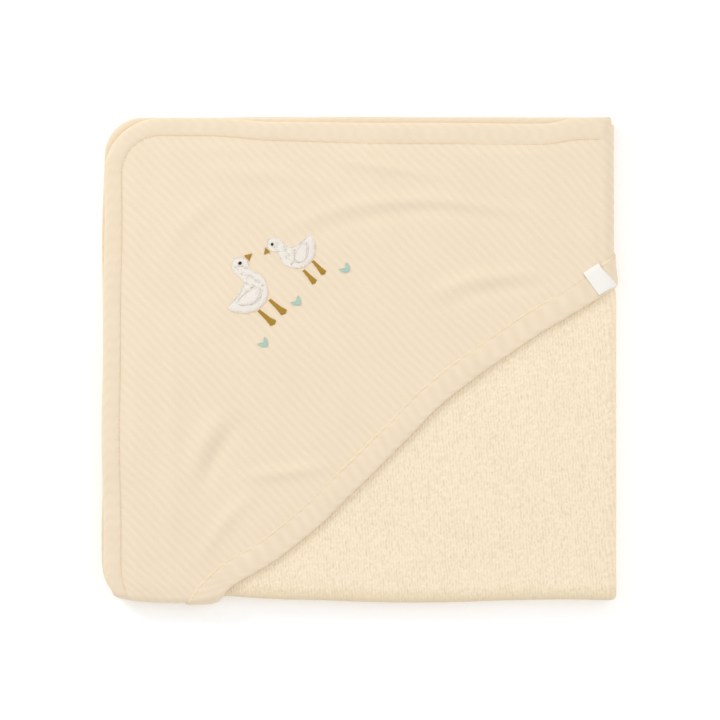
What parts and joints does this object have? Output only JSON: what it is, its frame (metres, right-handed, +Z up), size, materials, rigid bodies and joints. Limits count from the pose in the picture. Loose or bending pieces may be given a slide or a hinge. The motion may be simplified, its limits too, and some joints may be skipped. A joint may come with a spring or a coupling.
{
  "type": "hooded baby towel",
  "caption": "Square hooded bath towel for a baby, folded in quarters: terry leaves, bound edges, ribbed hood with a bound mouth, sewn tab and small embroidered birds.",
  "frame": {"origin": "under the middle of the folded towel, on the surface that it lies on", "axes": "+X towards the fold that the upper leaf opens about, +Y towards the bound back edge, +Z up out of the hood"},
  "size_m": [0.386, 0.364, 0.0206],
  "materials": {
    "terry": "looped terry pile, matte",
    "ribbed_cotton": "fine diagonal rib knit, matte",
    "binding": "ribbed cotton tape with a stitched seam, matte",
    "label": "smooth woven tape, matte",
    "white_thread": "satin-stitch embroidery, slight sheen",
    "ochre_thread": "satin-stitch embroidery, slight sheen",
    "brown_thread": "knot of embroidery thread, slight sheen",
    "sage_thread": "satin-stitch embroidery, slight sheen"
  },
  "bodies": {
    "lower_leaf": {"towel_lower_leaf": "terry", "edge_tape_bottom": "binding", "edge_tape_lower_inner": "binding"},
    "upper_leaf": {"towel_upper_leaf": "terry", "edge_tape_upper_inner": "binding", "edge_tape_hood": "binding", "hood_panel": "ribbed_cotton", "hood_mouth_tape": "binding", "label_tab": "label", "bird_left_body": "white_thread", "bird_left_wing": "white_thread", "bird_left_eye": "brown_thread", "bird_left_beak": "ochre_thread", "bird_left_back_leg": "ochre_thread", "bird_left_front_leg": "ochre_thread", "bird_right_body": "white_thread", "bird_right_wing": "white_thread", "bird_right_eye": "brown_thread", "bird_right_beak": "ochre_thread", "bird_right_back_leg": "ochre_thread", "bird_right_front_leg": "ochre_thread", "sprig_left": "sage_thread", "sprig_middle": "sage_thread", "sprig_right": "sage_thread"}
  },
  "joints": [
    {"name": "unfold", "type": "hinge", "parent": "lower_leaf", "child": "upper_leaf", "pos_m": [0.193, 0, 0.0105], "axis": [0, 1, 0], "range_deg": [0, 180]}
  ]
}
